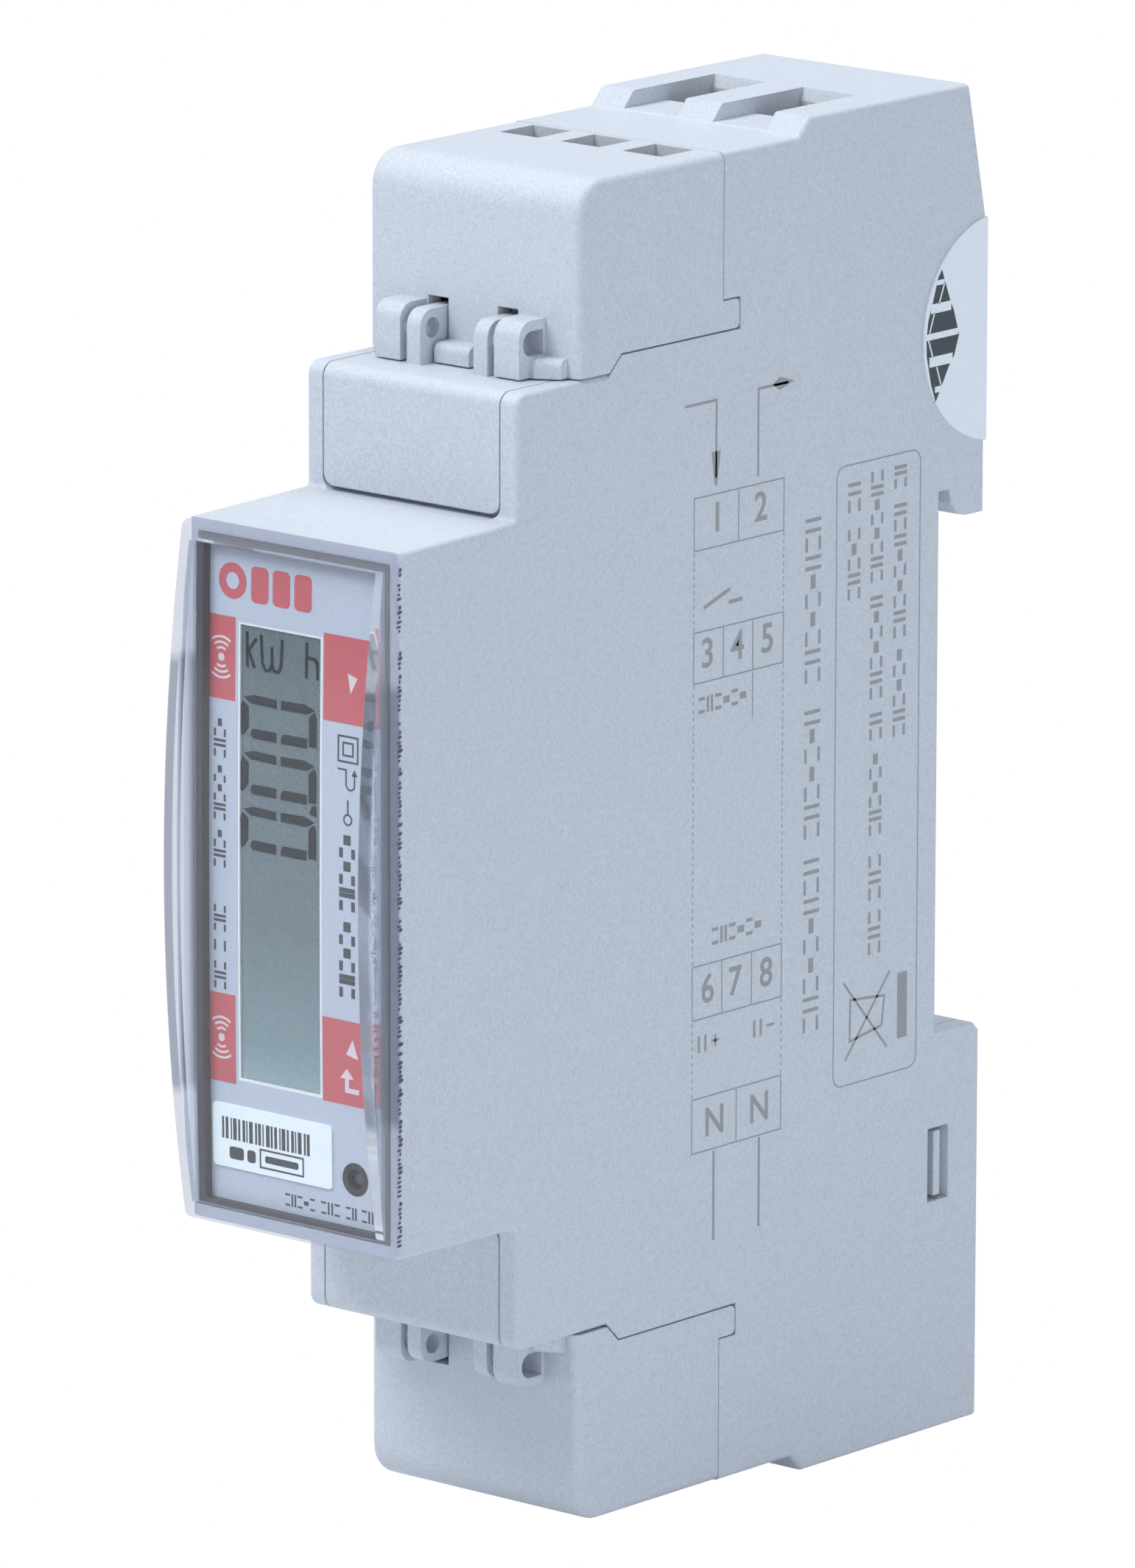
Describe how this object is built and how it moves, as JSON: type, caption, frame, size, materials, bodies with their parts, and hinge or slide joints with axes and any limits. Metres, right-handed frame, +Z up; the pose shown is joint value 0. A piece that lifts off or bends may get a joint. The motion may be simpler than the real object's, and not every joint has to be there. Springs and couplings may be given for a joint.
{
  "type": "smart electric meter",
  "caption": "One-module rail-mounted electricity meter with a bowed clear window over a display, sealable terminal covers, screw clamps and a sprung rail clip.",
  "frame": {"origin": "middle of the face that rests against the rail, on the rail's centre line", "axes": "+Y towards the wall, out of the rail seat; +Z up; +X to the right as seen from the front"},
  "size_m": [0.0177, 0.06, 0.089],
  "materials": {
    "housing_grey": "fine moulded texture, light grey",
    "clip_grey": "smooth light grey",
    "block_grey": "smooth light grey",
    "spring_steel": "drawn wire",
    "tinned_brass": "tin plated",
    "board_green": "solder mask over glass fibre",
    "bar_copper": "bare copper",
    "clear_window": "clear moulded polycarbonate",
    "gasket_dark": "dark grey rubber",
    "faceplate_film": "printed satin film",
    "label_white": "satin white film",
    "lcd_glass": "grey green liquid crystal",
    "diffuser_white": "milky acrylic",
    "holder_black": "black nylon",
    "led_red": "dark red lens",
    "chip_black": "moulded epoxy",
    "can_silver": "drawn can",
    "film_case": "yellow flame retardant case",
    "varistor_blue": "dipped blue epoxy",
    "ferrite": "ground ferrite",
    "winding_tape": "polyester tape over copper wire",
    "screw_steel": "zinc plated steel",
    "clamp_brass": "nickel plated brass",
    "seal_film": "tamper seal film"
  },
  "bodies": {
    "housing": {"main_housing": "housing_grey", "rear_cover": "housing_grey", "shoulder_insert_top": "housing_grey", "shoulder_insert_bottom": "housing_grey", "signal_block_top": "block_grey", "signal_block_bottom": "block_grey", "signal_contacts_top": "tinned_brass", "signal_contacts_bottom": "tinned_brass", "signal_board_top": "board_green", "signal_board_bottom": "board_green", "line_shunt": "bar_copper", "neutral_bar": "bar_copper", "front_window": "clear_window", "window_gasket": "gasket_dark", "faceplate": "faceplate_film", "serial_label": "label_white", "lcd_glass": "lcd_glass", "lcd_backlight": "diffuser_white", "lcd_holder": "holder_black", "display_board": "board_green", "touch_spring_upper": "spring_steel", "touch_spring_lower": "spring_steel", "pulse_led": "led_red", "main_board": "board_green", "board_connector": "holder_black", "board_chips": "chip_black", "clock_crystal": "can_silver", "electrolytic_capacitor": "can_silver", "film_capacitor": "film_case", "varistor": "varistor_blue", "transformer_core": "ferrite", "transformer_coil": "winding_tape", "calibration_seal": "seal_film"},
    "terminal_cover_top_body": {"terminal_cover_top": "housing_grey"},
    "terminal_cover_bottom_body": {"terminal_cover_bottom": "housing_grey"},
    "din_clip_body": {"din_clip": "clip_grey", "din_clip_spring": "spring_steel"},
    "line_screw_1_body": {"line_screw_1": "screw_steel"},
    "line_clamp_1_body": {"line_clamp_1": "clamp_brass"},
    "neutral_screw_1_body": {"neutral_screw_1": "screw_steel"},
    "neutral_clamp_1_body": {"neutral_clamp_1": "clamp_brass"},
    "line_screw_2_body": {"line_screw_2": "screw_steel"},
    "line_clamp_2_body": {"line_clamp_2": "clamp_brass"},
    "neutral_screw_2_body": {"neutral_screw_2": "screw_steel"},
    "neutral_clamp_2_body": {"neutral_clamp_2": "clamp_brass"},
    "signal_screw_3_body": {"signal_screw_3": "screw_steel"},
    "signal_clamp_3_body": {"signal_clamp_3": "clamp_brass"},
    "signal_screw_6_body": {"signal_screw_6": "screw_steel"},
    "signal_clamp_6_body": {"signal_clamp_6": "clamp_brass"},
    "signal_screw_4_body": {"signal_screw_4": "screw_steel"},
    "signal_clamp_4_body": {"signal_clamp_4": "clamp_brass"},
    "signal_screw_7_body": {"signal_screw_7": "screw_steel"},
    "signal_clamp_7_body": {"signal_clamp_7": "clamp_brass"},
    "signal_screw_5_body": {"signal_screw_5": "screw_steel"},
    "signal_clamp_5_body": {"signal_clamp_5": "clamp_brass"},
    "signal_screw_8_body": {"signal_screw_8": "screw_steel"},
    "signal_clamp_8_body": {"signal_clamp_8": "clamp_brass"}
  },
  "joints": [
    {"name": "terminal_cover_top_slide", "type": "slide", "parent": "housing", "child": "terminal_cover_top_body", "axis": [0, -1, 0], "range_m": [0, 0.0182]},
    {"name": "terminal_cover_bottom_slide", "type": "slide", "parent": "housing", "child": "terminal_cover_bottom_body", "axis": [0, -1, 0], "range_m": [0, 0.0182]},
    {"name": "din_clip_slide", "type": "slide", "parent": "housing", "child": "din_clip_body", "axis": [0, 0, -1], "range_m": [0, 0.003], "stiffness_N_per_m": 500, "springref_m": -0.002, "deforming": ["din_clip_spring"]},
    {"name": "line_clamp_1_slide", "type": "slide", "parent": "housing", "child": "line_clamp_1_body", "axis": [0, -1, 0], "range_m": [0, 0.00385]},
    {"name": "line_screw_1_turn", "type": "hinge", "parent": "housing", "child": "line_screw_1_body", "pos_m": [-0.0037, -0.0205, 0.0359], "axis": [0, 1, 0], "range_deg": [0, 1984]},
    {"name": "neutral_clamp_1_slide", "type": "slide", "parent": "housing", "child": "neutral_clamp_1_body", "axis": [0, -1, 0], "range_m": [0, 0.00385]},
    {"name": "neutral_screw_1_turn", "type": "hinge", "parent": "housing", "child": "neutral_screw_1_body", "pos_m": [-0.0037, -0.0205, -0.0359], "axis": [0, 1, 0], "range_deg": [0, 1984]},
    {"name": "line_clamp_2_slide", "type": "slide", "parent": "housing", "child": "line_clamp_2_body", "axis": [0, -1, 0], "range_m": [0, 0.00385]},
    {"name": "line_screw_2_turn", "type": "hinge", "parent": "housing", "child": "line_screw_2_body", "pos_m": [0.0037, -0.0205, 0.0359], "axis": [0, 1, 0], "range_deg": [0, 1984]},
    {"name": "neutral_clamp_2_slide", "type": "slide", "parent": "housing", "child": "neutral_clamp_2_body", "axis": [0, -1, 0], "range_m": [0, 0.00385]},
    {"name": "neutral_screw_2_turn", "type": "hinge", "parent": "housing", "child": "neutral_screw_2_body", "pos_m": [0.0037, -0.0205, -0.0359], "axis": [0, 1, 0], "range_deg": [0, 1984]},
    {"name": "signal_clamp_3_slide", "type": "slide", "parent": "housing", "child": "signal_clamp_3_body", "axis": [0, -1, 0], "range_m": [0, 0.00158]},
    {"name": "signal_screw_3_turn", "type": "hinge", "parent": "housing", "child": "signal_screw_3_body", "pos_m": [-0.0051, -0.0308, 0.04025], "axis": [0, 1, 0], "range_deg": [0, 1624]},
    {"name": "signal_clamp_6_slide", "type": "slide", "parent": "housing", "child": "signal_clamp_6_body", "axis": [0, -1, 0], "range_m": [0, 0.00158]},
    {"name": "signal_screw_6_turn", "type": "hinge", "parent": "housing", "child": "signal_screw_6_body", "pos_m": [-0.0051, -0.0308, -0.04025], "axis": [0, 1, 0], "range_deg": [0, 1624]},
    {"name": "signal_clamp_4_slide", "type": "slide", "parent": "housing", "child": "signal_clamp_4_body", "axis": [0, -1, 0], "range_m": [0, 0.00158]},
    {"name": "signal_screw_4_turn", "type": "hinge", "parent": "housing", "child": "signal_screw_4_body", "pos_m": [0, -0.0308, 0.04025], "axis": [0, 1, 0], "range_deg": [0, 1624]},
    {"name": "signal_clamp_7_slide", "type": "slide", "parent": "housing", "child": "signal_clamp_7_body", "axis": [0, -1, 0], "range_m": [0, 0.00158]},
    {"name": "signal_screw_7_turn", "type": "hinge", "parent": "housing", "child": "signal_screw_7_body", "pos_m": [0, -0.0308, -0.04025], "axis": [0, 1, 0], "range_deg": [0, 1624]},
    {"name": "signal_clamp_5_slide", "type": "slide", "parent": "housing", "child": "signal_clamp_5_body", "axis": [0, -1, 0], "range_m": [0, 0.00158]},
    {"name": "signal_screw_5_turn", "type": "hinge", "parent": "housing", "child": "signal_screw_5_body", "pos_m": [0.0051, -0.0308, 0.04025], "axis": [0, 1, 0], "range_deg": [0, 1624]},
    {"name": "signal_clamp_8_slide", "type": "slide", "parent": "housing", "child": "signal_clamp_8_body", "axis": [0, -1, 0], "range_m": [0, 0.00158]},
    {"name": "signal_screw_8_turn", "type": "hinge", "parent": "housing", "child": "signal_screw_8_body", "pos_m": [0.0051, -0.0308, -0.04025], "axis": [0, 1, 0], "range_deg": [0, 1624]}
  ],
  "couplings": [
    {"joint": "line_screw_1_turn", "follows": "line_clamp_1_slide", "rad_per_m": 8976},
    {"joint": "neutral_screw_1_turn", "follows": "neutral_clamp_1_slide", "rad_per_m": 8976},
    {"joint": "line_screw_2_turn", "follows": "line_clamp_2_slide", "rad_per_m": 8976},
    {"joint": "neutral_screw_2_turn", "follows": "neutral_clamp_2_slide", "rad_per_m": 8976},
    {"joint": "signal_screw_3_turn", "follows": "signal_clamp_3_slide", "rad_per_m": 17952},
    {"joint": "signal_screw_6_turn", "follows": "signal_clamp_6_slide", "rad_per_m": 17952},
    {"joint": "signal_screw_4_turn", "follows": "signal_clamp_4_slide", "rad_per_m": 17952},
    {"joint": "signal_screw_7_turn", "follows": "signal_clamp_7_slide", "rad_per_m": 17952},
    {"joint": "signal_screw_5_turn", "follows": "signal_clamp_5_slide", "rad_per_m": 17952},
    {"joint": "signal_screw_8_turn", "follows": "signal_clamp_8_slide", "rad_per_m": 17952}
  ]
}
